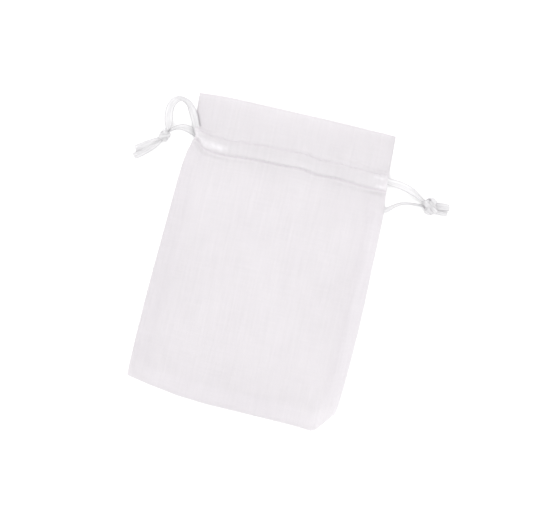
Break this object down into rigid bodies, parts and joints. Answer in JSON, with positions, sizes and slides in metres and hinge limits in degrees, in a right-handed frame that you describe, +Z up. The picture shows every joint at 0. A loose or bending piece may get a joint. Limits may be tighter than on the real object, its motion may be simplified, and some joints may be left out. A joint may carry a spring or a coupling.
{
  "type": "drawstring gift pouch",
  "caption": "Small sheer organza pouch with a ribbon drawstring channel that gathers its mouth shut when the knotted ribbons are pulled from each side.",
  "frame": {"origin": "middle of the underside of the cloth bag, lying flat, measured without the loose ribbons", "axes": "+X across the pouch towards its right side, +Y from the bottom edge to the mouth, +Z up from the surface it lies on"},
  "size_m": [0.1605, 0.1526, 0.0076],
  "materials": {
    "organza": "sheer woven organza, slightly lustrous",
    "seam_overlock": "overlocked organza edge, matte thread",
    "thread": "spun polyester thread",
    "satin_ribbon": "satin, soft sheen"
  },
  "bodies": {
    "bag": {"front_panel": "organza", "back_panel": "organza", "bottom_seam": "seam_overlock", "front_channel_stitching": "thread", "back_channel_stitching": "thread"},
    "left_side": {"left_side_seam": "seam_overlock"},
    "right_side": {"right_side_seam": "seam_overlock"},
    "left_drawstring": {"left_ribbon_channel_run": "satin_ribbon", "left_ribbon_front_strand": "satin_ribbon", "left_ribbon_back_strand": "satin_ribbon", "left_ribbon_knot": "satin_ribbon"},
    "right_drawstring": {"right_ribbon_channel_run": "satin_ribbon", "right_ribbon_front_strand": "satin_ribbon", "right_ribbon_back_strand": "satin_ribbon", "right_ribbon_knot": "satin_ribbon"}
  },
  "joints": [
    {"name": "left_drawstring_pull", "type": "slide", "parent": "bag", "child": "left_drawstring", "axis": [-1, 0, 0], "range_m": [0, 0.026]},
    {"name": "right_drawstring_pull", "type": "slide", "parent": "bag", "child": "right_drawstring", "axis": [1, 0, 0], "range_m": [0, 0.026]},
    {"name": "left_side_gather", "type": "hinge", "parent": "bag", "child": "left_side", "pos_m": [-0.042, -0.07025, 0.0005], "axis": [0, 0, -1], "range_deg": [0, 12.3], "deforming": ["front_panel", "back_panel", "bottom_seam", "front_channel_stitching", "back_channel_stitching"]},
    {"name": "right_side_gather", "type": "hinge", "parent": "bag", "child": "right_side", "pos_m": [0.042, -0.07025, 0.0005], "axis": [0, 0, 1], "range_deg": [0, 12.3]}
  ],
  "couplings": [
    {"joint": "right_drawstring_pull", "follows": "left_drawstring_pull", "ratio": 1},
    {"joint": "left_side_gather", "follows": "left_drawstring_pull", "rad_per_m": 8.1896},
    {"joint": "right_side_gather", "follows": "left_drawstring_pull", "rad_per_m": 8.1896}
  ]
}
